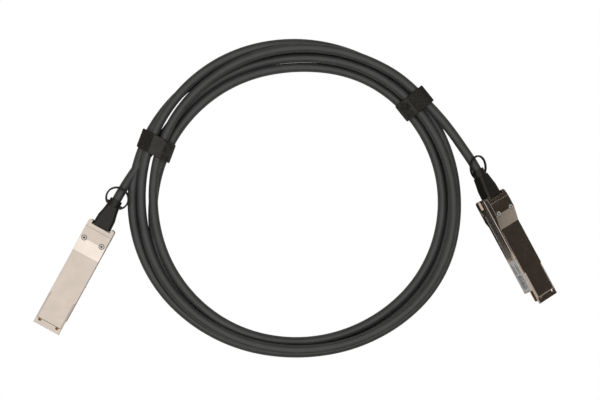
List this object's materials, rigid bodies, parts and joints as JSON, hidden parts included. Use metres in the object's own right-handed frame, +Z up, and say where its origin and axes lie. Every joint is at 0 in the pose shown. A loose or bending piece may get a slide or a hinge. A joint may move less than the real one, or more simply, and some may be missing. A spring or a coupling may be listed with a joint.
{
  "type": "direct attach copper cable",
  "caption": "Coiled twin-axial copper network cable, tied with hook and loop straps, with a pull-to-release pluggable metal module on each end.",
  "frame": {"origin": "on the surface the part lies on, in the middle between the two plugs", "axes": "+Z up, +X from the left plug to the right plug, +Y from the plugs' front ends towards the far side of the coil"},
  "size_m": [0.3352, 0.2034, 0.0211],
  "materials": {
    "shell_left": "bead-blasted nickel plating on die-cast zinc",
    "shell_right": "bead-blasted nickel plating on die-cast zinc",
    "circuit_card": "solder mask on glass-epoxy board",
    "gold_contact": "gold plated",
    "wire_insulation": "foil-wrapped twin-axial pairs",
    "relief_rubber": "matt",
    "latch_steel": "bright stamped strip",
    "screw_steel": "satin",
    "label_film": "plain white film with grey bars",
    "grip_plastic": "satin moulded",
    "cable_jacket": "smooth satin jacket",
    "strap_fabric": "woven hook and loop tape"
  },
  "bodies": {
    "plugs_and_cable": {"left_upper_shell": "shell_left", "left_lower_shell": "shell_left", "left_paddle_card": "circuit_card", "left_contact_pads": "gold_contact", "left_wire_pairs": "wire_insulation", "left_crimp_ferrule": "latch_steel", "left_strain_relief": "relief_rubber", "left_latch_springs": "latch_steel", "left_shell_screws": "screw_steel", "left_side_label": "label_film", "right_upper_shell": "shell_right", "right_lower_shell": "shell_right", "right_paddle_card": "circuit_card", "right_contact_pads": "gold_contact", "right_wire_pairs": "wire_insulation", "right_crimp_ferrule": "latch_steel", "right_strain_relief": "relief_rubber", "right_latch_springs": "latch_steel", "right_shell_screws": "screw_steel", "right_side_label": "label_film", "cable_coil": "cable_jacket", "cable_end_left": "cable_jacket", "cable_end_right": "cable_jacket", "strap_left": "strap_fabric", "strap_right": "strap_fabric"},
    "left_latch": {"left_latch_slider": "latch_steel", "left_pull_grip": "grip_plastic"},
    "right_latch": {"right_latch_slider": "latch_steel", "right_pull_grip": "grip_plastic"}
  },
  "joints": [
    {"name": "left_latch_pull", "type": "slide", "parent": "plugs_and_cable", "child": "left_latch", "axis": [0.481, 0.8767, 0], "range_m": [0, 0.0014], "stiffness_N_per_m": 1500, "springref_m": -0.003, "deforming": ["left_latch_springs"]},
    {"name": "right_latch_pull", "type": "slide", "parent": "plugs_and_cable", "child": "right_latch", "axis": [-0.4741, 0.8805, 0], "range_m": [0, 0.0014], "stiffness_N_per_m": 1500, "springref_m": -0.003, "deforming": ["right_latch_springs"]}
  ]
}
